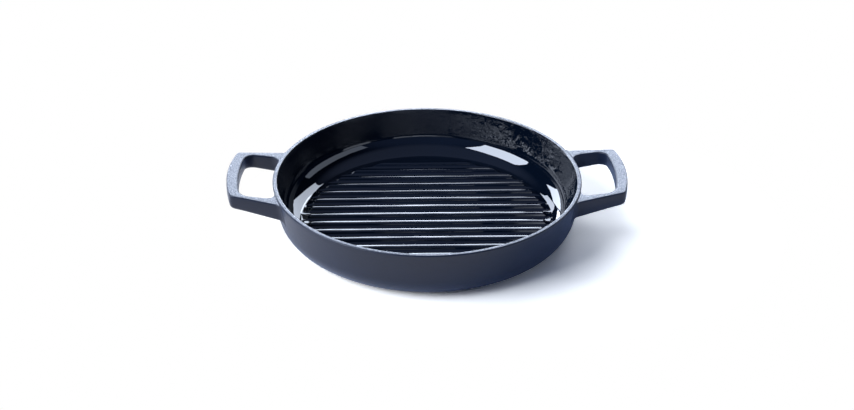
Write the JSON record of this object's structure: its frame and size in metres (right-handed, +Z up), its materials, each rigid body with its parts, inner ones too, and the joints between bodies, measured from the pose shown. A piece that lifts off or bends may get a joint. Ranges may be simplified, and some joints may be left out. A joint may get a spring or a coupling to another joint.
{
  "type": "grill pan",
  "caption": "Round shallow cast iron grill pan with a ribbed floor, leaning wall and a rigid loop handle on each side, gloss enamel inside and matt enamel outside.",
  "frame": {"origin": "middle of the flat face that the pan stands on", "axes": "+Z up, X along the line through both loop handles and along the ribs, Y across the ribs"},
  "size_m": [0.362, 0.2796, 0.0535],
  "materials": {
    "cast_iron": "as cast, shot blasted",
    "gloss_enamel": "gloss black vitreous enamel",
    "matt_enamel": "matt slate grey vitreous enamel, finely speckled"
  },
  "bodies": {
    "root": {"bowl_casting": "cast_iron", "handle_right": "cast_iron", "handle_left": "cast_iron", "grill_rib_01": "cast_iron", "grill_rib_02": "cast_iron", "grill_rib_03": "cast_iron", "grill_rib_04": "cast_iron", "grill_rib_05": "cast_iron", "grill_rib_06": "cast_iron", "grill_rib_07": "cast_iron", "grill_rib_08": "cast_iron", "grill_rib_09": "cast_iron", "grill_rib_10": "cast_iron", "grill_rib_11": "cast_iron", "grill_rib_12": "cast_iron", "grill_rib_13": "cast_iron", "grill_rib_14": "cast_iron", "grill_rib_15": "cast_iron", "inner_enamel": "gloss_enamel", "outer_enamel": "matt_enamel", "base_enamel": "matt_enamel"}
  },
  "joints": []
}
